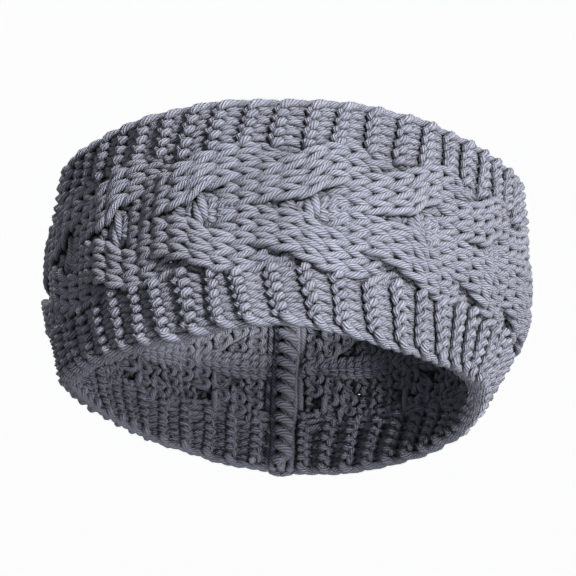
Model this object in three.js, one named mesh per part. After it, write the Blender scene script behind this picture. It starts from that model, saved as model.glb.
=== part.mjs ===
import * as THREE from 'three';

// Ear warmer headband. A strip knitted sideways: a garter stitch border, a horseshoe cable of
// four strands and a second garter border, closed into a ring by a seam at the nape.
// Millimetres. +Z runs up the wearer's head, the brow faces -Y, the wearer's left is +X.
// The origin is the middle of the opening for the head.

// Opening for the head
const headWidth = 160; // across the ears
const headDepth = 192; // from brow to nape
const backWiderShare = 0.08; // how far the ring is wider behind than in front
const wearTilt = 17; // degrees, the brow sits higher than the nape

// Knitted strip
const stripHeight = 81.3;
const wallThickness = 8;
const upperBorderHeight = 15.8; // at its narrowest, beside the cable's widest place
const lowerBorderHeight = 19.8;
const rimRounding = 2.4; // radius of the knitted edges

// Garter ridges across the borders
const ridgePitch = 10.9; // one ridge is two rows
const ridgeRelief = 0.7; // how far a ridge stands above the wall's middle
const upperRidgeLean = 0.16; // sideways shift for each millimetre of height
const lowerRidgeLean = 0.2;
const leanFade = 60; // the ridges stand upright again this near to the seam

// Horseshoe cable: two pairs of strands, one above the other, crossing at the same places
const strandThickness = 4.6;
const crossingPitch = 38; // along the strip, from one crossing to the next
const crossingOffset = 3; // from the middle of the brow to the nearest crossing
const crossingSpeed = 0.35; // how much quicker the strands cross than they run side by side
const crossingHeight = 38.5; // the cable is drawn in where its strands cross
const eyeHeight = 3.5; // the slit between the two pairs beside a crossing

// Seam at the nape
const seamWidth = 8;
const seamThickness = 11.6;
const seamInset = 1.6; // the roll lies mostly on the inner side
const seamStitchPitch = 5.7;
const seamStitchRelief = 0.35;

const pieceGap = 0.35; // between neighbouring pieces

// Fineness of the faceted surfaces
const stepsPerRidge = 3;
const stepsPerCrossing = 6;
const stepsPerSeamStitch = 2;

const yarnColor = '#8a8d9c';

// How the ring is bent on the head, every 30 degrees from the brow towards the wearer's left.
// Leans draw a rim in towards the head, lifts raise it, both as shares of the strip's height.
const bends = [
  { topLean: 0.04, lowLean: 0.02, topLift: 0.01, lowLift: 0.03 }, // brow
  { topLean: 0.03, lowLean: 0.04, topLift: 0.012, lowLift: -0.01 },
  { topLean: 0.02, lowLean: 0.13, topLift: 0.01, lowLift: 0.03 },
  { topLean: 0.03, lowLean: 0.19, topLift: 0.05, lowLift: 0.09 }, // left ear
  { topLean: 0.055, lowLean: 0.15, topLift: 0.025, lowLift: 0.045 },
  { topLean: 0.05, lowLean: 0.105, topLift: -0.005, lowLift: -0.01 },
  { topLean: 0.065, lowLean: 0.1, topLift: -0.02, lowLift: -0.025 }, // nape
  { topLean: 0.075, lowLean: 0.12, topLift: 0.03, lowLift: 0.03 },
  { topLean: 0.06, lowLean: 0.15, topLift: 0.04, lowLift: 0.07 },
  { topLean: 0.03, lowLean: 0.1, topLift: 0.025, lowLift: 0.065 }, // right ear
  { topLean: 0.03, lowLean: 0.07, topLift: 0.01, lowLift: 0.005 },
  { topLean: 0.035, lowLean: 0.05, topLift: 0.01, lowLift: 0.005 },
];

const halfWidth = (headWidth + wallThickness) / 2;
const halfDepth = (headDepth + wallThickness) / 2;
const halfHeight = stripHeight / 2;
const halfWall = wallThickness / 2;
const fullTurn = 2 * Math.PI;
const cableHeight = stripHeight - upperBorderHeight - lowerBorderHeight;
const cableCentre = (lowerBorderHeight - upperBorderHeight) / 2;

// The wall's middle line seen from above, with the turn counted from the brow
function planPoint(turn) {
  const x = halfWidth * Math.sin(turn) * (1 - backWiderShare * Math.cos(turn));
  return new THREE.Vector2(x, -halfDepth * Math.cos(turn));
}

function planNormal(turn) {
  const small = 0.001;
  const run = planPoint(turn + small).sub(planPoint(turn - small)).normalize();
  return new THREE.Vector2(run.y, -run.x);
}

// Distance along the ring from the seam, as a table from the nape round to the nape
const ringSteps = 720;
const ringDistances = [0];
for (let step = 1; step <= ringSteps; step += 1) {
  const before = planPoint(-Math.PI + (fullTurn * (step - 1)) / ringSteps);
  const here = planPoint(-Math.PI + (fullTurn * step) / ringSteps);
  ringDistances.push(ringDistances[step - 1] + before.distanceTo(here));
}
const ringLength = ringDistances[ringSteps];

function turnAt(along) {
  const wrapped = along - ringLength * Math.floor(along / ringLength);
  let low = 0;
  let high = ringSteps;
  while (high - low > 1) {
    const middle = Math.floor((low + high) / 2);
    if (ringDistances[middle] > wrapped) high = middle;
    else low = middle;
  }
  const share = (wrapped - ringDistances[low]) / (ringDistances[high] - ringDistances[low]);
  return -Math.PI + (fullTurn * (low + share)) / ringSteps;
}

// Smooth value of one column of the bends at any turn
function bendAt(turn, column) {
  const place = (turn / fullTurn) * bends.length;
  const first = Math.floor(place);
  const t = place - first;
  const row = (index) => bends[(index + 2 * bends.length) % bends.length][column];
  const [a, b, c, d] = [row(first - 1), row(first), row(first + 1), row(first + 2)];
  const slopeIn = (c - a) / 2;
  const slopeOut = (d - b) / 2;
  const square = t * t;
  const cube = square * t;
  return (
    b * (2 * cube - 3 * square + 1) +
    slopeIn * (cube - 2 * square + t) +
    c * (3 * square - 2 * cube) +
    slopeOut * (cube - square)
  );
}

// A point of the band: along the strip from the seam, up from its middle, out from the wall's middle
function bandPoint(along, height, out) {
  const turn = turnAt(along);
  const up = Math.max(height / halfHeight, 0);
  const down = Math.max(-height / halfHeight, 0);
  const lean = bendAt(turn, 'topLean') * up * up + bendAt(turn, 'lowLean') * down ** 1.5;
  const lift = bendAt(turn, 'topLift') * up + bendAt(turn, 'lowLift') * down;
  const shift = planNormal(turn).multiplyScalar(out - stripHeight * lean);
  const plan = planPoint(turn).add(shift);
  return new THREE.Vector3(plan.x, plan.y, height + stripHeight * lift);
}

// One closed body through a row of sections, each a closed loop of the same number of points
function sweptBody(sections) {
  const count = sections[0].length;
  const points = sections.flat();
  const faces = [];
  for (let step = 0; step + 1 < sections.length; step += 1) {
    for (let side = 0; side < count; side += 1) {
      const next = (side + 1) % count;
      const a = step * count + side;
      const b = step * count + next;
      const c = a + count;
      const d = b + count;
      faces.push([a, b, d], [a, d, c]);
    }
  }
  const last = (sections.length - 1) * count;
  for (let side = 1; side + 1 < count; side += 1) {
    faces.push([0, side + 1, side], [last, last + side, last + side + 1]);
  }
  const volume = faces.reduce((sum, [a, b, c]) => {
    const corner = points[b].clone().cross(points[c]);
    return sum + points[a].dot(corner);
  }, 0);
  if (volume < 0) faces.forEach((face) => face.reverse());
  const geometry = new THREE.BufferGeometry();
  const positions = points.flatMap((point) => point.toArray());
  geometry.setAttribute('position', new THREE.Float32BufferAttribute(positions, 3));
  geometry.setIndex(faces.flat());
  geometry.computeVertexNormals();
  return geometry;
}

// Four strands side by side fill the cable where they aren't crossing
const laneHeight = cableHeight / 4;
const strandWidth = laneHeight - pieceGap;

// Angle of the twist: a quarter turn past each place where the strands lie side by side, two
// strands cross
function twistAngle(along) {
  const crossings = (along - ringLength / 2 - crossingOffset) / crossingPitch;
  const even = Math.PI * (crossings + 0.5);
  return even - crossingSpeed * Math.sin(2 * even);
}

// Where a strand's middle lies above the cable's middle, and half its own height. Strands that
// cross spread out, from the eye between the pairs to the edge of the drawn-in cable.
function strandSpan(angle) {
  const crossing = Math.sin(angle) ** 4;
  const crossingMiddle = (crossingHeight + eyeHeight) / 4;
  const crossingHalf = (crossingHeight - eyeHeight) / 4;
  const pairMiddle = laneHeight + (crossingMiddle - laneHeight) * crossing;
  const middle = pairMiddle + (laneHeight / 2) * Math.cos(angle);
  const half = strandWidth / 2 + (crossingHalf - strandWidth / 2) * crossing;
  return { middle, half: Math.min(half, middle - pieceGap / 2) };
}

// How far the strands of a pair swing out and in, so that one passes the other
function crossingDepth() {
  const outlinePower = 1.9; // of the curve that comes nearest to a strand's outline
  const trials = 12;
  let depth = 0;
  for (let trial = 1; trial <= trials; trial += 1) {
    const angle = (Math.PI / 2) * (trial / trials);
    const apart = laneHeight * Math.cos(angle);
    const share = Math.min(1, apart / (2 * strandSpan(angle).half + pieceGap));
    const clear = (1 - share ** outlinePower) ** (1 / outlinePower);
    depth = Math.max(depth, ((strandThickness + pieceGap) * clear) / (2 * Math.sin(angle)));
  }
  return depth;
}
const strandSwing = crossingDepth();

// The cable's halves mirror each other: half 1 lies above its middle and half -1 below it.
// A strand lies outside wherever it runs from the middle to the edge, towards the wearer's left.
function strandPlace(half, strand, along) {
  const angle = twistAngle(along) + Math.PI * strand;
  const span = strandSpan(angle);
  return {
    height: cableCentre + half * span.middle,
    halfHeight: span.half,
    out: -strandSwing * Math.sin(angle),
  };
}

// The edge of the cable, which the borders follow
function cableEdge(along, half) {
  const reaches = [0, 1].map((strand) => {
    const place = strandPlace(half, strand, along);
    return half * place.height + place.halfHeight;
  });
  return half * (Math.max(...reaches) + pieceGap);
}

const strandOutline = [
  [1, 0],
  [0.72, 0.62],
  [0, 1],
  [-0.72, 0.62],
  [-1, 0],
  [-0.72, -0.62],
  [0, -1],
  [0.72, -0.62],
];

// The strip starts and ends beside the seam roll
const stripStart = seamWidth / 2 + seamStitchRelief + pieceGap;
const stripEnd = ringLength - stripStart;

function strandGeometry(half, strand) {
  const steps = Math.round((stepsPerCrossing * (stripEnd - stripStart)) / crossingPitch);
  const sections = [];
  for (let step = 0; step <= steps; step += 1) {
    const along = stripStart + ((stripEnd - stripStart) * step) / steps;
    const place = strandPlace(half, strand, along);
    sections.push(
      strandOutline.map(([high, deep]) =>
        bandPoint(
          along,
          place.height + high * place.halfHeight,
          place.out + (deep * strandThickness) / 2,
        ),
      ),
    );
  }
  return sweptBody(sections);
}

// A border from the cable's edge to the rim, with side 1 above the cable and -1 below it.
// Garter stitch is ribbed on both faces, so a ridge outside is a furrow inside.
function borderGeometry(side, ridgeLean) {
  const ridges = Math.round((stripEnd - stripStart) / ridgePitch);
  const steps = ridges * stepsPerRidge;
  const sections = [];
  for (let step = 0; step <= steps; step += 1) {
    const along = stripStart + ((stripEnd - stripStart) * step) / steps;
    const relief = ridgeRelief * Math.cos((fullTurn * step) / stepsPerRidge);
    const edge = cableEdge(along, side);
    const rim = side * halfHeight;
    const belowRim = side * (halfHeight - rimRounding);
    const middle = (edge + belowRim) / 2;
    const face = halfWall - ridgeRelief;
    const upright = Math.min(1, along / leanFade, (ringLength - along) / leanFade);
    const place = (height, out) => {
      const lean = ridgeLean * upright * Math.abs(height - edge);
      return bandPoint(along + lean, height, out + relief);
    };
    sections.push([
      place(edge, -face),
      place(edge, face),
      place(middle, face),
      place(belowRim, face),
      place(rim, face - rimRounding),
      place(rim, rimRounding - face),
      place(belowRim, -face),
      place(middle, -face),
    ]);
  }
  return sweptBody(sections);
}

// The rolled seam, upright across the strip, pinched between its stitches
function seamGeometry() {
  const stitches = Math.round(stripHeight / seamStitchPitch);
  const steps = stitches * stepsPerSeamStitch;
  const sides = 10;
  const sections = [];
  for (let step = 0; step <= steps; step += 1) {
    const height = -halfHeight + (stripHeight * step) / steps;
    const swell = seamStitchRelief * (step % stepsPerSeamStitch === 0 ? -1 : 1);
    const section = [];
    for (let side = 0; side < sides; side += 1) {
      const angle = (fullTurn * side) / sides;
      const along = (seamWidth / 2 + swell) * Math.cos(angle);
      const out = (seamThickness / 2 + swell) * Math.sin(angle) - seamInset;
      section.push(bandPoint(along, height, out));
    }
    sections.push(section);
  }
  return sweptBody(sections);
}

function knitMaterial() {
  return new THREE.MeshStandardMaterial({ color: yarnColor, roughness: 0.9, metalness: 0 });
}

function addPiece(group, name, geometry) {
  const piece = new THREE.Mesh(geometry, knitMaterial());
  piece.name = name;
  group.add(piece);
}

const headband = new THREE.Group();
addPiece(headband, 'upper_border', borderGeometry(1, upperRidgeLean));
addPiece(headband, 'lower_border', borderGeometry(-1, lowerRidgeLean));
for (const [name, half, strand] of [
  ['cable_strand_1', 1, 0],
  ['cable_strand_2', 1, 1],
  ['cable_strand_3', -1, 0],
  ['cable_strand_4', -1, 1],
]) {
  addPiece(headband, name, strandGeometry(half, strand));
}
addPiece(headband, 'back_seam', seamGeometry());
headband.rotation.x = THREE.MathUtils.degToRad(-wearTilt);

export default headband;
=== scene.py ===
import math

import bpy
import numpy as np
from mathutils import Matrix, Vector


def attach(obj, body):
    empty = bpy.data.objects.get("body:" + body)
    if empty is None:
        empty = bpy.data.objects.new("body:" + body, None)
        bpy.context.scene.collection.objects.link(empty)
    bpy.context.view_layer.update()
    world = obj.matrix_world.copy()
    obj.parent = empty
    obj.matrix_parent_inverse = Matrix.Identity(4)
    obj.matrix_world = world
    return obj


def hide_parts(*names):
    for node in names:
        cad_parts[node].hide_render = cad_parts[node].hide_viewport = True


# Cable knit ear warmer headband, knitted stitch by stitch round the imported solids.
# Metres. Every stitch is placed on the band by its distance along the strip from the seam,
# its height across the strip and how far it stands out of the wall's middle.

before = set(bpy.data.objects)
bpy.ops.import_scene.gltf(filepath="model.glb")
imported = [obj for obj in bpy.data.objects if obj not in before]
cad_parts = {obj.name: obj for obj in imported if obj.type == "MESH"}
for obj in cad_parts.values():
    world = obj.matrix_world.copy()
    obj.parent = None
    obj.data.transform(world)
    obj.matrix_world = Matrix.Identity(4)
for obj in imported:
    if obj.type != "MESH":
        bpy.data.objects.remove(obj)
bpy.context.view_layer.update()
rng = np.random.default_rng(41)
fullTurn = 2 * math.pi

band = {
    "headWidth": 0.160,
    "headDepth": 0.192,
    "backWider": 0.08,
    "tilt": 17,  # degrees, brow up
    "height": 0.0813,
    "wall": 0.008,
    "seamClear": 0.0047,  # from the middle of the seam to the first row
    # How the ring bends on the head, every 30 degrees from the brow to the wearer's left:
    # how far the upper and lower rims lean in and lift, as shares of the strip's height
    "bends": [
        {"topLean": 0.04, "lowLean": 0.02, "topLift": 0.01, "lowLift": 0.03},
        {"topLean": 0.03, "lowLean": 0.04, "topLift": 0.012, "lowLift": -0.01},
        {"topLean": 0.02, "lowLean": 0.13, "topLift": 0.01, "lowLift": 0.03},
        {"topLean": 0.03, "lowLean": 0.19, "topLift": 0.05, "lowLift": 0.09},
        {"topLean": 0.055, "lowLean": 0.15, "topLift": 0.025, "lowLift": 0.045},
        {"topLean": 0.05, "lowLean": 0.105, "topLift": -0.005, "lowLift": -0.01},
        {"topLean": 0.065, "lowLean": 0.1, "topLift": -0.02, "lowLift": -0.025},
        {"topLean": 0.075, "lowLean": 0.12, "topLift": 0.03, "lowLift": 0.03},
        {"topLean": 0.06, "lowLean": 0.15, "topLift": 0.04, "lowLift": 0.07},
        {"topLean": 0.03, "lowLean": 0.1, "topLift": 0.025, "lowLift": 0.065},
        {"topLean": 0.03, "lowLean": 0.07, "topLift": 0.01, "lowLift": 0.005},
        {"topLean": 0.035, "lowLean": 0.05, "topLift": 0.01, "lowLift": 0.005},
    ],
    "topLeanPower": 2,
    "lowLeanPower": 1.5,
    "ringPoints": 1441,
}

halfWidth = (band["headWidth"] + band["wall"]) / 2
halfDepth = (band["headDepth"] + band["wall"]) / 2
halfHeight = band["height"] / 2

# Angles round the ring, from the nape round to the nape, 0 at the brow
ringTurns = np.linspace(-math.pi, math.pi, band["ringPoints"])


def ringPlan(turn):
    x = halfWidth * np.sin(turn) * (1 - band["backWider"] * np.cos(turn))
    return np.stack([x, -halfDepth * np.cos(turn)], axis=-1)


def ringNormal(turn):
    runX = halfWidth * (np.cos(turn) - band["backWider"] * np.cos(2 * turn))
    runY = halfDepth * np.sin(turn)
    size = np.hypot(runX, runY)
    return np.stack([runY / size, -runX / size], axis=-1)


ringSteps = np.linalg.norm(np.diff(ringPlan(ringTurns), axis=0), axis=1)
ringDistances = np.concatenate([[0], np.cumsum(ringSteps)])
ringLength = ringDistances[-1]
stripStart = band["seamClear"]
stripEnd = ringLength - band["seamClear"]


# A column of the bends, as a smooth curve through its rows
def bendAt(turn, column):
    values = np.array([row[column] for row in band["bends"]])
    place = turn / fullTurn * len(values)
    first = np.floor(place).astype(int)
    t = place - first
    a, b, c, d = [values[(first + step) % len(values)] for step in (-1, 0, 1, 2)]
    return (
        b * (2 * t**3 - 3 * t**2 + 1)
        + (c - a) / 2 * (t**3 - 2 * t**2 + t)
        + c * (3 * t**2 - 2 * t**3)
        + (d - b) / 2 * (t**3 - t**2)
    )


# The place in space of a point of the strip
def bandPoint(along, height, out):
    along, height, out = np.broadcast_arrays(along, height, out)
    turn = np.interp(np.mod(along, ringLength), ringDistances, ringTurns)
    up = np.maximum(height / halfHeight, 0)
    down = np.maximum(-height / halfHeight, 0)
    lean = bendAt(turn, "topLean") * up ** band["topLeanPower"]
    lean = lean + bendAt(turn, "lowLean") * down ** band["lowLeanPower"]
    lift = bendAt(turn, "topLift") * up + bendAt(turn, "lowLift") * down
    plan = ringPlan(turn) + ringNormal(turn) * (out - band["height"] * lean)[..., None]
    rise = height + band["height"] * lift
    tilt = math.radians(-band["tilt"])
    return np.stack(
        [
            plan[..., 0],
            plan[..., 1] * math.cos(tilt) - rise * math.sin(tilt),
            plan[..., 1] * math.sin(tilt) + rise * math.cos(tilt),
        ],
        axis=-1,
    )


# Unevenness of hand knitting: slow waves that shift neighbouring stitches together
uneven = {
    "waves": 9,
    "shortest": 0.012,
    "longest": 0.05,
    "shiftAlong": 0.00018,
    "shiftHeight": 0.000126,
    "shiftOut": 0.000144,
    "lift": 0.0003,  # how far a single stitch stands in or out of its row
}


def waveField(amount):
    waves = uneven["waves"]
    pitch = rng.uniform(uneven["shortest"], uneven["longest"], waves)
    heading = rng.uniform(0, fullTurn, waves)
    phase = rng.uniform(0, fullTurn, waves)

    def field(along, height):
        total = 0
        for p, a, f in zip(pitch, heading, phase):
            total = total + np.sin(fullTurn / p * (along * np.cos(a) + height * np.sin(a)) + f)
        return amount * total

    return field


shiftAlong = waveField(uneven["shiftAlong"])
shiftHeight = waveField(uneven["shiftHeight"])
shiftOut = waveField(uneven["shiftOut"])


# The finished paths of some yarns in space, with the radius of the yarn at each point
def finishPaths(along, height, out, radius):
    along2 = along + shiftAlong(along, height)
    height2 = height + shiftHeight(along, height)
    out2 = out + shiftOut(along, height)
    return bandPoint(along2, height2, out2), radius


# Yarn: a round tube swept along each path, with a UV map that runs round it and along it
yarn = {
    "plies": 7,
    "plyTurn": 0.0098,  # length in which the plies turn once
    "sides": 8,
    "sideways": (0.31, 0.17, 0.94),  # a direction in which no yarn starts
}


def sweepPaths(paths, radii):
    sides = yarn["sides"]
    count, points = paths.shape[:2]
    tangent = np.gradient(paths, axis=1)
    tangent /= np.linalg.norm(tangent, axis=-1, keepdims=True)
    normal = np.empty_like(paths)
    start = np.cross(tangent[:, 0], np.array(yarn["sideways"]))
    normal[:, 0] = start / np.linalg.norm(start, axis=-1, keepdims=True)
    for step in range(1, points):
        here = tangent[:, step]
        turned = normal[:, step - 1]
        turned = turned - here * np.sum(turned * here, axis=-1, keepdims=True)
        normal[:, step] = turned / np.linalg.norm(turned, axis=-1, keepdims=True)
    across = np.cross(tangent, normal)
    angle = (np.arange(sides) * fullTurn / sides)[:, None]
    ring = normal[:, :, None] * np.cos(angle) + across[:, :, None] * np.sin(angle)
    vertices = paths[:, :, None] + ring * radii[:, :, None, None]
    gaps = np.linalg.norm(np.diff(paths, axis=1), axis=-1)
    length = np.concatenate([np.zeros((count, 1)), np.cumsum(gaps, axis=1)], axis=1)
    length += rng.uniform(0, yarn["plyTurn"], (count, 1))
    index = np.arange(count * points * sides).reshape(count, points, sides)
    ahead = np.roll(index, -1, axis=2)
    quads = np.stack([index[:, :-1], ahead[:, :-1], ahead[:, 1:], index[:, 1:]], axis=-1)
    around = np.broadcast_to(np.arange(sides) / sides, (count, points - 1, sides))
    beside = around + 1 / sides
    low = np.broadcast_to(length[:, :-1, None] / yarn["plyTurn"], around.shape)
    high = np.broadcast_to(length[:, 1:, None] / yarn["plyTurn"], around.shape)
    corners = ((around, low), (beside, low), (beside, high), (around, high))
    uv = np.stack([np.stack(corner, axis=-1) for corner in corners], axis=-2)
    caps = np.concatenate([index[:, 0, ::-1], index[:, -1]])
    return vertices.reshape(-1, 3), quads.reshape(-1, 4), uv.reshape(-1, 2), caps


def yarnPiece(name, batches, material, nodes):
    allPoints, allQuads, allUv, allCaps = [], [], [], []
    offset = 0
    for paths, radii in batches:
        points, quads, uv, caps = sweepPaths(paths, radii)
        allPoints.append(points)
        allQuads.append(quads + offset)
        allUv.append(uv)
        allCaps.append(caps + offset)
        offset += len(points)
    points = np.concatenate(allPoints)
    quads = np.concatenate(allQuads)
    caps = np.concatenate(allCaps)
    uv = np.concatenate(allUv + [np.zeros((caps.size, 2))])
    mesh = bpy.data.meshes.new(name)
    mesh.vertices.add(len(points))
    mesh.vertices.foreach_set("co", points.ravel())
    mesh.loops.add(quads.size + caps.size)
    corners = np.concatenate([quads.ravel(), caps.ravel()])
    mesh.loops.foreach_set("vertex_index", corners.astype(np.int32))
    sizes = np.concatenate([np.full(len(quads), 4), np.full(len(caps), yarn["sides"])])
    mesh.polygons.add(len(sizes))
    starts = np.concatenate([[0], np.cumsum(sizes)[:-1]])
    mesh.polygons.foreach_set("loop_start", starts.astype(np.int32))
    mesh.update(calc_edges=True)
    layer = mesh.uv_layers.new(name="yarn")
    layer.data.foreach_set("uv", uv.ravel())
    mesh.polygons.foreach_set("use_smooth", np.ones(len(sizes), dtype=bool))
    mesh.validate()
    mesh.materials.append(material)
    piece = bpy.data.objects.new(name, mesh)
    bpy.context.scene.collection.objects.link(piece)
    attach(piece, "root")
    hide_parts(*nodes)
    print(name, "triangles", 2 * len(quads) + (yarn["sides"] - 2) * len(caps))


# Knitting. A row is one yarn that makes a stitch in each wale, and a stitch is one full turn:
# 0 at the foot of its first leg, half a turn at its head, a full turn at the foot of its second.


def smooth(value):
    t = np.clip(value, 0, 1)
    return t * t * (3 - 2 * t)


def joined(*parts):
    return np.concatenate(parts, axis=1)


# The points of a row: the wale that each is in, and how far it is through its stitch
def rowPoints(samples, wales, leadIn=0):
    t = np.arange(-leadIn, samples * wales + 1) * fullTurn / samples
    place = np.clip((t / fullTurn).astype(int), 0, wales - 1)
    return place, t - fullTurn * place


# A stitch's loop: how far it rises into the next row, and how far its legs lean
def stitchShape(t, rowLength, stitch):
    rise = (rowLength + stitch["grip"] * 2 * stitch["radius"]) / 2
    return rise * np.cos(t), stitch["lean"] * np.sin(2 * t)


# A stitch's yarn is full on its legs and bends, and squeezed where loops pass each other
def yarnRadius(t, stitch):
    squeezed = 1 + stitch["squeeze"] * np.cos(4 * t)
    bulky = 1 + stitch["bendBulk"] * np.cos(2 * t) + stitch["footBulk"] * np.cos(t)
    return stitch["radius"] * squeezed * bulky


# No two stitches are alike: how much each leans, and how far it lifts off its row
def stitchUnevenness(rows, wales, place, local, stitch):
    vary = rng.uniform(1 - stitch["uneven"], 1 + stitch["uneven"], (rows, wales))[:, place]
    lift = rng.uniform(-uneven["lift"], uneven["lift"], (rows, wales))[:, place]
    return vary, lift * np.sin(local / 2) ** 2


# Cable: two halves that mirror each other, each of wales that cross three over two
cable = {
    "upperBorder": 0.0158,  # height of the border above the cable
    "lowerBorder": 0.0198,
    "wales": 5,
    "overWales": 3,
    "crossingPitch": 0.038,
    "crossingOffset": 0.003,  # from the brow to the nearest crossing
    "crossingSpeed": 0.35,  # how much quicker the outline changes at a crossing than between
    "waleSpeed": 0.1,  # the same for the wales themselves
    "narrowing": 0.5,  # share of the solid's narrowing at a crossing that the stitches follow
    "crossingHeight": 0.0385,
    "eyeHeight": 0.0035,
    "eyeOpen": -0.0008,
    "swing": 0.0024,  # how far the wales in front stand out at a crossing
    "spreadAtCrossing": 0.0052,  # pitch of the wales there
    "standsOut": 0.0005,
    "pieceGap": 0.00035,
    "rows": 77,
    "samples": 16,
    "floatReach": 0.45,  # radians of a stitch given to the step to the next wale
    "floatDip": 0.0018,  # how far a row's yarn dives where it leaves the strand in front
    "floatThin": 0.5,
    "floatStep": 0.005,  # step in height at which it dives all the way
    "floatEase": 0.35,
    "ladderPoints": 4,
    "ladderReach": 0.75,  # how far across the eye a row's yarn goes on, as a share of the way
    "ladderSlip": 0.0018,
    "ladderBulk": 0.3,
    "tuck": 0.0015,
    "stitch": {
        "radius": 0.00125,
        "grip": 2.2,  # yarns' widths by which a loop passes through the next
        "lean": 0.0013,
        "uneven": 0.3,
        "depth": 0.0013,
        "squeeze": 0.13,
        "bendBulk": 0.0,
        "footBulk": 0.0,
    },
}
cableHeight = band["height"] - cable["upperBorder"] - cable["lowerBorder"]
cableCentre = (cable["lowerBorder"] - cable["upperBorder"]) / 2
waleWidth = cableHeight / 2 / cable["wales"]
firstCrossing = ringLength / 2 + cable["crossingOffset"]


# How many crossings lie between the first and a place on the strip
def crossingsTo(along):
    return (along - firstCrossing) / cable["crossingPitch"]


# The turn of the strands, which is quickest at a crossing's middle
def strandTurn(crossings, speed):
    even = math.pi * (crossings + 0.5)
    return even - speed * np.sin(2 * even)


# The order of the wales, from the edge to the middle, after each crossing round the ring
crossingReach = int(ringLength / cable["crossingPitch"]) + 2
hiddenWales = cable["wales"] - cable["overWales"]
waleOrders = [list(range(cable["wales"]))]
for crossing in range(2 * crossingReach + 1):
    before = waleOrders[-1]
    waleOrders.append(before[hiddenWales:] + before[:hiddenWales])
orderTable = np.array(waleOrders)
placeTable = np.argsort(orderTable, axis=1)


# Where a wale of the cable runs: its height, how far it stands out and its width
def waleAt(wale, along):
    crossings = crossingsTo(along)
    crossing = np.floor(crossings + 0.5).astype(int)
    row = crossing + crossingReach
    placeBefore = placeTable[row, wale]
    placeAfter = placeTable[row + 1, wale]
    over = placeAfter < placeBefore
    angle = strandTurn(crossings - crossing, cable["waleSpeed"])
    progress = (1 - np.cos(angle)) / 2
    crossed = np.sin(strandTurn(crossings, cable["crossingSpeed"])) ** 4
    inner = cable["eyeOpen"] * crossed
    narrowed = (cableHeight - cable["crossingHeight"]) * cable["narrowing"] * crossed
    outer = (cableHeight - narrowed) / 2
    wales, overWales = cable["wales"], cable["overWales"]
    middleBefore = np.where(over, hiddenWales + (overWales - 1) / 2, (hiddenWales - 1) / 2)
    middleAfter = np.where(over, (overWales - 1) / 2, overWales + (hiddenWales - 1) / 2)
    rank = placeBefore - middleBefore
    middle = middleBefore + (middleAfter - middleBefore) * progress
    share = (wales - 0.5 - middle) / wales
    spacing = waleWidth * (1 - crossed) + cable["spreadAtCrossing"] * crossed
    height = inner + (outer - inner) * share - rank * spacing
    out = np.where(over, 1, -1) * cable["swing"] * np.sin(angle) + cable["standsOut"]
    return height, out, spacing


# The outer edge of a half of the cable, measured from the cable's middle
def cableEdge(along):
    angle = strandTurn(crossingsTo(along), cable["crossingSpeed"])
    crossed = np.sin(angle) ** 4
    laneHeight = cableHeight / 4
    gap = cable["pieceGap"]
    crossingMiddle = (cable["crossingHeight"] + cable["eyeHeight"]) / 4
    crossingHalf = (cable["crossingHeight"] - cable["eyeHeight"]) / 4
    pairMiddle = laneHeight + (crossingMiddle - laneHeight) * crossed
    half = (laneHeight - gap) / 2 * (1 - crossed) + crossingHalf * crossed
    return pairMiddle + laneHeight / 2 * np.abs(np.cos(angle)) + half + gap


def cableCourses(side):
    stitch = cable["stitch"]
    wales, rows = cable["wales"], cable["rows"]
    rowLength = (stripEnd - stripStart) / rows
    rowMiddles = stripStart + rowLength * (np.arange(rows) + 0.5)
    place, local = rowPoints(cable["samples"], wales)
    rise, lean = stitchShape(local, rowLength, stitch)
    vary, lift = stitchUnevenness(rows, wales, place, local, stitch)
    along = rowMiddles[:, None] + rise[None]
    crossings = crossingsTo(rowMiddles)
    crossing = np.floor(crossings + 0.5).astype(int)
    orderRow = np.where(crossings < crossing, crossing, crossing + 1) + crossingReach
    orders = orderTable[orderRow]
    reach = cable["floatReach"]
    toNext = smooth((local - fullTurn + reach) / reach) / 2
    toLast = smooth((reach - local) / reach) / 2
    neighbour = np.clip(place + (toNext > 0) * 1 - (toLast > 0) * 1, 0, wales - 1)
    weight = np.where(neighbour == place, 0, toNext + toLast)
    height, out, width = waleAt(orders[:, place], along)
    height2, out2, _ = waleAt(orders[:, neighbour], along)
    across = (local / fullTurn - 0.5) * width + lean * vary
    step = (neighbour - place) * width
    # where a row passes from the strand in front to the one behind, its yarn dives between them
    jump = np.clip(np.abs(height2 + step - height) / cable["floatStep"], 0, 1)
    jump = jump * np.clip(2 * weight, 0, 1) ** cable["floatEase"]
    height = height * (1 - weight) + (height2 + step) * weight - across
    out = out * (1 - weight) + out2 * weight - cable["floatDip"] * jump
    out = out - stitch["depth"] * np.cos(2 * local) + lift
    radius = yarnRadius(local, stitch) * (1 - cable["floatThin"] * jump)
    # the yarn comes from under the border, and goes on across the eye to the other half
    points = cable["ladderPoints"]
    back = np.linspace(1, 0, points + 1)[:-1]
    onward = np.linspace(0, 1, points + 1)[1:]
    under = np.maximum(cableEdge(along[:, :1]) + cable["tuck"] - height[:, :1], 0)
    crossTo = -height[:, -1:] * cable["ladderReach"]
    ladder = height[:, -1:] * (1 - onward) + crossTo * onward
    slip = side * cable["ladderSlip"] * onward
    swell = 1 + cable["ladderBulk"] * np.sin(math.pi * onward)
    height = joined(height[:, :1] + under * back, height, ladder)
    along = joined(np.repeat(along[:, :1], points, axis=1), along, along[:, -1:] + slip)
    out = joined(out[:, :1] * (1 - back), out, out[:, -1:] * (1 - onward))
    radius = joined(np.repeat(radius[:, :1], points, axis=1), radius, radius[:, -1:] * swell)
    return finishPaths(along, cableCentre + side * height, out, radius)


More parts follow.
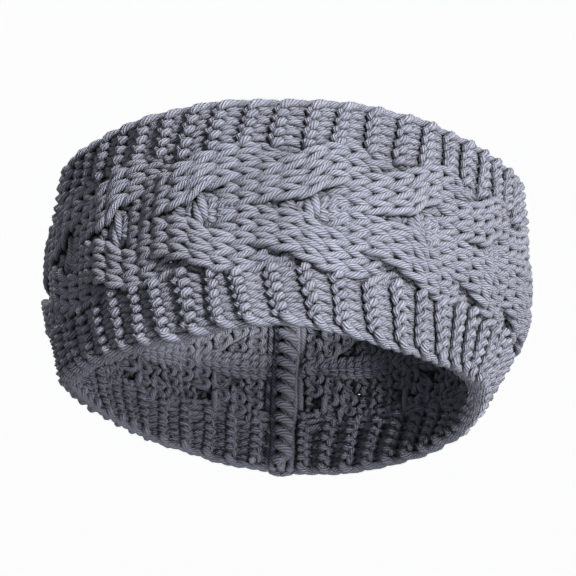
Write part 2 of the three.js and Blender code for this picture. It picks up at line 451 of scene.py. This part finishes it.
# Borders: garter stitch, whose rows show their loops on one face and then on the other
border = {
    "rows": 106,
    "samples": 16,
    "leadIn": 2,  # points of a row before its first stitch
    "turnPoints": 5,  # points of the yarn where it turns round at the rim
    "rimAllowance": 0.0030,
    "leanFade": 0.060,  # the ridges stand upright at the seam and lean from this far on
    "overhang": 0.45,  # share of its height by which a ridge hangs over the furrow before it
    "tuckPoints": 3,
    "tuck": 0.0035,
    "tuckDepth": 0.0022,
    "stitch": {
        "radius": 0.00122,
        "grip": 1.0,
        "lean": 0.0006,
        "uneven": 0.4,
        "depth": 0.0026,
        "footDepth": 0.0003,
        "legDepth": 0.0004,
        "legBias": 0.0006,
        "legFrom": 0.3,  # share of its rise at which a leg starts to pass through the knit
        "legPass": 0.4,  # share of its rise in which it passes
        "slant": 0.0024,
        "squeeze": 0.06,
        "bendBulk": 0.1,
        "footBulk": 0.12,
    },
    "upper": {"wales": 4, "ridgeLean": 0.16},
    "lower": {"wales": 5, "ridgeLean": 0.2},
}


def borderCourses(side, part):
    stitch = border["stitch"]
    wales, rows = part["wales"], border["rows"]
    rowLength = (stripEnd - stripStart) / rows
    number = np.arange(rows)
    rowMiddles = stripStart + rowLength * (number + 0.5)
    face = np.where(number % 2 == 1, -1, 1)  # -1 for a row whose loops show outside
    faceAfter = np.roll(face, 1)
    place, local = rowPoints(border["samples"], wales, border["leadIn"])
    rise, lean = stitchShape(local, rowLength, stitch)
    vary, lift = stitchUnevenness(rows, wales, place, local, stitch)
    along = rowMiddles[:, None] + rise[None]
    edge = cableEdge(along) + side * cableCentre
    width = (halfHeight - border["rimAllowance"] - edge) / wales
    across = edge + width * (place + local / fullTurn) + lean * vary
    risen = (1 - np.cos(local)) / 2
    towardsHead = smooth((risen - stitch["legFrom"]) / stitch["legPass"])
    turnedOut = face[:, None] * (1 - towardsHead) + faceAfter[:, None] * towardsHead
    swing = np.cos(2 * local)
    bend = stitch["depth"] + stitch["footDepth"] * np.cos(local)
    depth = np.where(swing > 0, bend, stitch["legDepth"])
    out = -depth * swing * turnedOut + lift
    out = out + stitch["legBias"] * np.sin(local) ** 2 * face[:, None]
    # the bends between stitches lie askew
    along = along + side * stitch["slant"] * np.sin(local) * np.cos(local / 2) ** 4
    radius = np.broadcast_to(yarnRadius(local, stitch), along.shape)
    # the inner end of a row lies behind the cable
    points = border["tuckPoints"]
    back = np.linspace(1, 0, points + 1)[:-1]
    sunk = out[:, :1] * (1 - back) - border["tuckDepth"] * back
    across = joined(across[:, :1] - border["tuck"] * back, across)
    along = joined(np.repeat(along[:, :1], points, axis=1), along)
    out = joined(sunk, out)
    radius = joined(np.repeat(radius[:, :1], points, axis=1), radius)
    # a pair of rows is one yarn, which turns round at the rim, and the rows left over are single
    second = number[2::2]
    first = second - 1
    arc = np.linspace(0, math.pi, border["turnPoints"] + 2)[1:-1]
    pairs = []
    for values in (along, across, out, radius):
        a, b = values[first], values[second]
        middle = (a[:, -1:] + b[:, -1:]) / 2
        half = (a[:, -1:] - b[:, -1:]) / 2
        turned = middle + half * np.cos(arc)
        if values is across:
            turned = turned + np.sin(arc) * border["rimAllowance"] / 2
        pairs.append(joined(a, turned, b[:, ::-1]))
    batches = [leanedPaths(side, part, *pairs)]
    singles = [0] if rows % 2 else [0, rows - 1]
    for single in singles:
        row = [values[single : single + 1] for values in (along, across, out, radius)]
        batches.append(leanedPaths(side, part, *row))
    return batches


def leanedPaths(side, part, along, across, out, radius):
    upright = np.minimum(1, np.minimum(along, ringLength - along) / border["leanFade"])
    edge = cableEdge(along) + side * cableCentre
    along = along + part["ridgeLean"] * upright * np.maximum(across - edge, 0)
    along = along - border["overhang"] * out
    return finishPaths(along, side * across, out, radius)


# Yarns that run the length of the strip: two wound together along each rim, and three laid
# behind each outer edge of the cable
lengthwise = {
    "rimPoints": 540,
    "rimInset": 0.0016,
    "rimWind": 0.0005,
    "rimRadius": 0.0012,
    "edgePoints": 240,
    "edgePlaces": (-0.0036, -0.0012, 0.0012),
    "edgeDepth": 0.0006,
    "edgeRadius": 0.0013,
}


def borderLengths(side):
    along = np.linspace(stripStart, stripEnd, lengthwise["rimPoints"])[None]
    ridge = 2 * (stripEnd - stripStart) / border["rows"]
    wind = lengthwise["rimWind"]
    paths = []
    for start in (0, math.pi):
        turn = fullTurn * along / ridge + start
        height = side * (halfHeight - lengthwise["rimInset"] + wind * np.sin(turn))
        radius = np.full(along.shape, lengthwise["rimRadius"])
        paths.append(finishPaths(along, height, wind * np.cos(turn), radius))
    along = np.linspace(stripStart, stripEnd, lengthwise["edgePoints"])[None]
    for place in lengthwise["edgePlaces"]:
        height = side * (cableEdge(along) + side * cableCentre + place)
        out = np.full(along.shape, -lengthwise["edgeDepth"])
        radius = np.full(along.shape, lengthwise["edgeRadius"])
        paths.append(finishPaths(along, height, out, radius))
    return paths


# Yarns laid along the inner edge of each half of the cable, seen in the eyes only
eyes = {
    "points": 1200,
    "places": (0.0011, 0.0034),
    "sway": 0.0005,
    "swayPitch": 0.0037,
    "radius": 0.0014,
    "depth": 0.0002,
}


def eyeYarns(side):
    along = np.linspace(stripStart, stripEnd, eyes["points"])
    along = np.tile(along, (len(eyes["places"]), 1))
    turn = fullTurn * along / eyes["swayPitch"]
    places = np.array(eyes["places"])[:, None]
    height = cableCentre + side * (places + eyes["sway"] * np.sin(turn))
    out = eyes["sway"] * np.cos(turn) - eyes["depth"]
    return finishPaths(along, height, out, np.full(along.shape, eyes["radius"]))


# Seam: a chain of big stitches wrapped round the outside of the roll
seam = {
    "stitches": 14,
    "samples": 18,
    "wales": 2,
    "width": 0.0080,
    "reach": 0.0034,  # radius at which the chain lies round the roll
    "wrap": 1.35,  # radians that it goes round to either side
    "sunk": 0.0004,
    "endClear": 0.0005,
    "stitch": {
        "radius": 0.00135,
        "grip": 1.0,
        "lean": 0.0009,
        "depth": 0.0014,
        "squeeze": 0.1,
        "bendBulk": 0.0,
        "footBulk": 0.0,
    },
}


def seamChain():
    stitch, wales = seam["stitch"], seam["wales"]
    rowLength = band["height"] / seam["stitches"]
    middles = -halfHeight + rowLength * (np.arange(seam["stitches"]) + 0.5)
    place, local = rowPoints(seam["samples"], wales)
    rise, lean = stitchShape(local, rowLength, stitch)
    end = halfHeight - seam["endClear"]
    height = np.clip(middles[:, None] + rise[None], -end, end)
    across = (place + local / fullTurn - wales / 2) * seam["width"] / wales + lean
    angle = across / (seam["width"] / 2) * seam["wrap"]
    reach = seam["reach"] - stitch["depth"] * np.cos(2 * local)
    out = reach * np.cos(angle) - seam["sunk"]
    radius = np.broadcast_to(yarnRadius(local, stitch), height.shape)
    return finishPaths(reach * np.sin(angle), height, out, radius)


# The allowance inside the seam: a roll overcast with doubled yarn, round a core of straight yarns
roll = {
    "winds": 13,
    "samples": 16,
    "radius": 0.0022,
    "inset": 0.0052,
    "yarn": 0.0021,
    "thinning": 0.12,  # share by which the yarn is thinner on the roll's inner face
    "endClear": 0.003,
    "coreRadius": 0.0017,
    "corePoints": 40,
    "coreEndClear": 0.001,
    # places of the core's yarns along the strip, and their depths inside the wall's middle
    "core": (
        (-0.006, -0.0005),
        (-0.0036, 0.0015),
        (0, 0.0045),
        (0.0036, 0.0015),
        (0.006, -0.0005),
        (0, 0.001),
    ),
}


def seamRoll():
    turn = np.linspace(0, fullTurn * roll["winds"], roll["winds"] * roll["samples"] + 1)[None]
    pitch = (band["height"] - 2 * roll["endClear"]) / roll["winds"]
    height = -halfHeight + roll["endClear"] + pitch * turn / fullTurn
    along = roll["radius"] * np.sin(turn)
    out = -roll["inset"] - roll["radius"] * np.cos(turn)
    radius = roll["yarn"] * (1 - roll["thinning"] * np.cos(turn))
    paths = [finishPaths(along, height, out, radius)]
    end = halfHeight - roll["coreEndClear"]
    height = np.linspace(-end, end, roll["corePoints"])[None]
    for place, depth in roll["core"]:
        along = np.full(height.shape, place)
        out = np.full(height.shape, -depth)
        paths.append(finishPaths(along, height, out, np.full(height.shape, roll["coreRadius"])))
    return paths


# Yarn material: plies that wind round the yarn, with fine fibres along them; the colour has painted
# shade in the grooves between the plies and a painted highlight on their crests
finish = {
    "yarn": (0.225, 0.238, 0.315, 1),
    # painted shade: the dark colour that the grooves between the plies take
    "paintedGrooveShade": (0.07, 0.076, 0.108, 1),
    # painted highlight: the pale colour that the crests of the plies take
    "paintedCrestHighlight": (0.42, 0.43, 0.52, 1),
    "paintedGrooveShadeAt": 0.15,  # tones at which the yarn has its painted groove shade colour and its own colour
    "yarnAt": 0.62,
    "roughness": 0.82,
    "sheen": 0.25,
    "sheenRoughness": 0.45,
    "specular": 0.3,
    "wobble": 3.2,  # radians by which the plies wander
    "wobbleScale": 260,
    # how far the ply crests move the colour between the painted shade and the painted highlight
    "plyShadeAndHighlight": 0.5,
    "plyFlatness": 0.7,
    "fibreTone": 0.9,
    "fibreRelief": 1.6,
    "fibreScale": 2.2,  # round the yarn
    "fibreLength": 1.3,  # along the yarn
    "relief": 0.9,
    "reliefDepth": 0.0006,
    "patchScale": 55,
    "patchLow": 0.8,  # how dark and bright the yarn is in patches
    "patchHigh": 1.2,
    "paintedShadeReach": 0.005,  # painted shade: gaps up to this width are darkened in the colour
    # how strongly the painted shade in the gaps darkens the colour
    "paintedShadePower": 1.05,
}


def link(tree, source, output, target, socket):
    tree.links.new(source.outputs[output], target.inputs[socket])


def mathNode(tree, operation, a, b=None):
    node = tree.nodes.new("ShaderNodeMath")
    node.operation = operation
    for index, value in enumerate((a, b)):
        if value is None:
            continue
        if isinstance(value, (int, float)):
            node.inputs[index].default_value = value
        else:
            tree.links.new(value, node.inputs[index])
    return node.outputs[0]


def noiseNode(tree, scale, detail):
    node = tree.nodes.new("ShaderNodeTexNoise")
    node.inputs["Scale"].default_value = scale
    node.inputs["Detail"].default_value = detail
    return node


def yarnMaterial():
    material = bpy.data.materials.new("plied_yarn")
    material.use_nodes = True
    tree = material.node_tree
    shader = tree.nodes["Principled BSDF"]
    shader.inputs["Roughness"].default_value = finish["roughness"]
    shader.inputs["Sheen Weight"].default_value = finish["sheen"]
    shader.inputs["Sheen Roughness"].default_value = finish["sheenRoughness"]
    shader.inputs["Specular IOR Level"].default_value = finish["specular"]
    place = tree.nodes.new("ShaderNodeTexCoord")
    crest, fibre = pliesAndFibres(tree, place)
    bump = tree.nodes.new("ShaderNodeBump")
    bump.inputs["Strength"].default_value = finish["relief"]
    bump.inputs["Distance"].default_value = finish["reliefDepth"]
    plyRelief = mathNode(tree, "POWER", crest, finish["plyFlatness"])
    fibreRelief = mathNode(tree, "MULTIPLY", fibre, finish["fibreRelief"])
    tree.links.new(mathNode(tree, "ADD", plyRelief, fibreRelief), bump.inputs["Height"])
    link(tree, bump, "Normal", shader, "Normal")
    # painted shade and highlight: the ply crests move the colour from the dark shade in the grooves
    # to the pale highlight on the crests, and the fibre noise adds random tone along the same ramp
    ramp = tree.nodes.new("ShaderNodeValToRGB")
    colours = ramp.color_ramp.elements
    colours[0].position = finish["paintedGrooveShadeAt"]
    colours[0].color = finish["paintedGrooveShade"]
    colours[1].position = finish["yarnAt"]
    colours[1].color = finish["yarn"]
    colours.new(1.0).color = finish["paintedCrestHighlight"]
    plyShadeAndHighlight = mathNode(tree, "MULTIPLY", crest, finish["plyShadeAndHighlight"])
    fibreTone = mathNode(tree, "MULTIPLY", fibre, finish["fibreTone"])
    tree.links.new(mathNode(tree, "ADD", plyShadeAndHighlight, fibreTone), ramp.inputs["Fac"])
    patch = noiseNode(tree, finish["patchScale"], 1)
    link(tree, place, "Object", patch, "Vector")
    brightness = tree.nodes.new("ShaderNodeMapRange")
    brightness.inputs["To Min"].default_value = finish["patchLow"]
    brightness.inputs["To Max"].default_value = finish["patchHigh"]
    link(tree, patch, "Fac", brightness, "Value")
    # painted shade: the colour is darkened by ambient occlusion in the gaps between the yarns
    gaps = tree.nodes.new("ShaderNodeAmbientOcclusion")
    gaps.samples = 4
    gaps.inputs["Distance"].default_value = finish["paintedShadeReach"]
    depth = mathNode(tree, "POWER", gaps.outputs["AO"], finish["paintedShadePower"])
    tint = tree.nodes.new("ShaderNodeHueSaturation")
    # the random patch brightness times the painted shade of the gaps
    value = mathNode(tree, "MULTIPLY", brightness.outputs["Result"], depth)
    tree.links.new(value, tint.inputs["Value"])
    link(tree, ramp, "Color", tint, "Color")
    link(tree, tint, "Color", shader, "Base Color")
    return material


# The height of the plies and the strength of the fibres at each place of the yarn
def pliesAndFibres(tree, place):
    uv = tree.nodes.new("ShaderNodeUVMap")
    uv.uv_map = "yarn"
    split = tree.nodes.new("ShaderNodeSeparateXYZ")
    link(tree, uv, "UV", split, "Vector")
    wander = noiseNode(tree, finish["wobbleScale"], 2)
    link(tree, place, "Object", wander, "Vector")
    wobble = mathNode(tree, "MULTIPLY", wander.outputs["Fac"], finish["wobble"])
    turn = mathNode(tree, "ADD", split.outputs["X"], split.outputs["Y"])
    phase = mathNode(tree, "MULTIPLY", turn, yarn["plies"] * math.pi)
    wave = mathNode(tree, "SINE", mathNode(tree, "ADD", phase, wobble))
    crest = mathNode(tree, "ABSOLUTE", wave)
    # fibres follow the plies: the same place round the yarn, turned back by the twist
    angle = mathNode(tree, "MULTIPLY", turn, fullTurn)
    fibrePlace = tree.nodes.new("ShaderNodeCombineXYZ")
    for operation, axis in (("COSINE", "X"), ("SINE", "Y")):
        wound = mathNode(tree, operation, angle)
        scaled = mathNode(tree, "MULTIPLY", wound, finish["fibreScale"])
        tree.links.new(scaled, fibrePlace.inputs[axis])
    length = mathNode(tree, "MULTIPLY", split.outputs["Y"], finish["fibreLength"])
    tree.links.new(length, fibrePlace.inputs["Z"])
    fibre = noiseNode(tree, 1.0, 5)
    link(tree, fibrePlace, "Vector", fibre, "Vector")
    return crest, fibre.outputs["Fac"]


# Camera
view = {
    "distance": 1.0,
    "height": 0.0048,
    "lens": 172.0,
    "sensor": 36,
    "roll": -1.97,
    "nearest": 0.05,
    "farthest": 60,
}


def makeCamera():
    data = bpy.data.cameras.new("camera")
    data.lens = view["lens"]
    data.sensor_width = view["sensor"]
    data.clip_start = view["nearest"]
    data.clip_end = view["farthest"]
    camera = bpy.data.objects.new("camera", data)
    camera.location = (0, -view["distance"], view["height"])
    camera.rotation_euler = (math.pi / 2, math.radians(view["roll"]), 0)
    bpy.context.scene.collection.objects.link(camera)
    bpy.context.scene.camera = camera


# Studio: a round floor that curves up into a wall on every side
studio = {
    "floorDrop": 0.9,
    "flatRadius": 3.2,
    "curveRadius": 2.4,
    "wallHeight": 5.0,
    "sides": 96,
    "curveSteps": 12,
    "colour": (0.86, 0.86, 0.87, 1),
    "roughness": 0.9,
    "glow": 0.85,
    "glowOnPart": 0.15,  # share of the glow that lights the part; the rest only whitens the backdrop
    "glowFrom": -0.9,  # heights between which the part's share changes
    "glowTo": 3.0,
    # how bright that share is, at shares of the way up
    "glowBands": ((0.0, 0.12), (0.03, 1), (0.4, 1), (0.6, 0.1)),
}


def floorMesh():
    sides = studio["sides"]
    profile = [(studio["flatRadius"], 0)]
    for step in range(1, studio["curveSteps"] + 1):
        angle = step / studio["curveSteps"] * math.pi / 2
        reach = studio["flatRadius"] + studio["curveRadius"] * math.sin(angle)
        profile.append((reach, studio["curveRadius"] * (1 - math.cos(angle))))
    profile.append((profile[-1][0], studio["wallHeight"]))
    points = [(0, 0, -studio["floorDrop"])]
    for reach, rise in profile:
        for side in range(sides):
            angle = fullTurn * side / sides
            x, y = reach * math.cos(angle), reach * math.sin(angle)
            points.append((x, y, rise - studio["floorDrop"]))
    faces = [(0, 1 + side, 1 + (side + 1) % sides) for side in range(sides)]
    for ring in range(len(profile) - 1):
        low = 1 + ring * sides
        for side in range(sides):
            ahead = (side + 1) % sides
            faces.append((low + side, low + sides + side, low + sides + ahead, low + ahead))
    mesh = bpy.data.meshes.new("floor")
    mesh.from_pydata(points, [], faces)
    mesh.polygons.foreach_set("use_smooth", [True] * len(faces))
    return mesh


def floorMaterial():
    material = bpy.data.materials.new("pale_floor")
    material.use_nodes = True
    tree = material.node_tree
    shader = tree.nodes["Principled BSDF"]
    shader.inputs["Base Color"].default_value = studio["colour"]
    shader.inputs["Roughness"].default_value = studio["roughness"]
    shader.inputs["Emission Color"].default_value = (1, 1, 1, 1)
    place = tree.nodes.new("ShaderNodeTexCoord")
    split = tree.nodes.new("ShaderNodeSeparateXYZ")
    link(tree, place, "Object", split, "Vector")
    span = tree.nodes.new("ShaderNodeMapRange")
    span.inputs["From Min"].default_value = studio["glowFrom"]
    span.inputs["From Max"].default_value = studio["glowTo"]
    link(tree, split, "Z", span, "Value")
    bands = tree.nodes.new("ShaderNodeValToRGB")
    stops = bands.color_ramp.elements
    for number, (position, grey) in enumerate(studio["glowBands"]):
        stop = stops[number] if number < len(stops) else stops.new(position)
        stop.position = position
        stop.color = (grey, grey, grey, 1)
    link(tree, span, "Result", bands, "Fac")
    # the camera sees the backdrop white, and the part gets its share of the light only
    seen = tree.nodes.new("ShaderNodeLightPath").outputs["Is Camera Ray"]
    share = studio["glow"] * studio["glowOnPart"]
    whitening = mathNode(tree, "MULTIPLY", seen, studio["glow"] - share)
    lighting = mathNode(tree, "MULTIPLY", bands.outputs["Color"], share)
    strength = mathNode(tree, "ADD", whitening, lighting)
    tree.links.new(strength, shader.inputs["Emission Strength"])
    return material


def makeStudio():
    mesh = floorMesh()
    mesh.materials.append(floorMaterial())
    floor = bpy.data.objects.new("floor", mesh)
    bpy.context.scene.collection.objects.link(floor)


# Lights: three soft spots and a faint area light, as places, what they aim at and watts
lights = {
    "key": {
        "place": (0.76, -1.32, 0.74),
        "target": (0, 0, 0),
        "radius": 0.12,
        "cone": 22,
        "power": 150,
    },
    "low": {
        "place": (0.75, -1.3, -0.45),
        "target": (-0.04, 0.1, -0.04),
        "radius": 0.12,
        "cone": 20,
        "power": 44,
    },
    "rear": {
        "place": (-0.7, 1.4, 0.8),
        "target": (0, 0, 0),
        "radius": 0.2,
        "cone": 22,
        "power": 90,
    },
    "fill": {
        "place": (-1.2, -0.9, 0.3),
        "target": (0, 0, 0),
        "radius": 0.4,
        "cone": None,  # an area light
        "power": 2,
    },
}
spotSoftness = 0.8
sky = {"colour": (0.95, 0.97, 1.0, 1), "strength": 0.1}


def softLight(name, light):
    if light["cone"] is None:
        data = bpy.data.lights.new(name, "AREA")
        data.shape = "DISK"
        data.size = 2 * light["radius"]
    else:
        data = bpy.data.lights.new(name, "SPOT")
        data.shadow_soft_size = light["radius"]
        data.spot_size = math.radians(light["cone"])
        data.spot_blend = spotSoftness
    data.energy = light["power"]
    lamp = bpy.data.objects.new(name, data)
    lamp.location = light["place"]
    direction = Vector(light["target"]) - lamp.location
    lamp.rotation_euler = direction.to_track_quat("-Z", "Y").to_euler()
    bpy.context.scene.collection.objects.link(lamp)


def makeLights():
    for name, light in lights.items():
        softLight(name, light)
    world = bpy.data.worlds.new("studio")
    world.use_nodes = True
    background = world.node_tree.nodes["Background"]
    background.inputs["Color"].default_value = sky["colour"]
    background.inputs["Strength"].default_value = sky["strength"]
    bpy.context.scene.world = world
    bpy.context.scene.view_settings.view_transform = "Standard"


makeCamera()
makeStudio()
makeLights()
print("studio ready")

yarnFinish = yarnMaterial()
for name, side in (("upper", 1), ("lower", -1)):
    courses = borderCourses(side, border[name]) + borderLengths(side)
    yarnPiece(name + "_border_knit", courses, yarnFinish, [name + "_border"])
for name, side, strands in (("upper", 1, (1, 2)), ("lower", -1, (3, 4))):
    courses = [cableCourses(side), eyeYarns(side)]
    nodes = ["cable_strand_" + str(number) for number in strands]
    yarnPiece(name + "_cable_knit", courses, yarnFinish, nodes)
yarnPiece("back_seam_knit", [seamChain()] + seamRoll(), yarnFinish, ["back_seam"])
print("knitted")
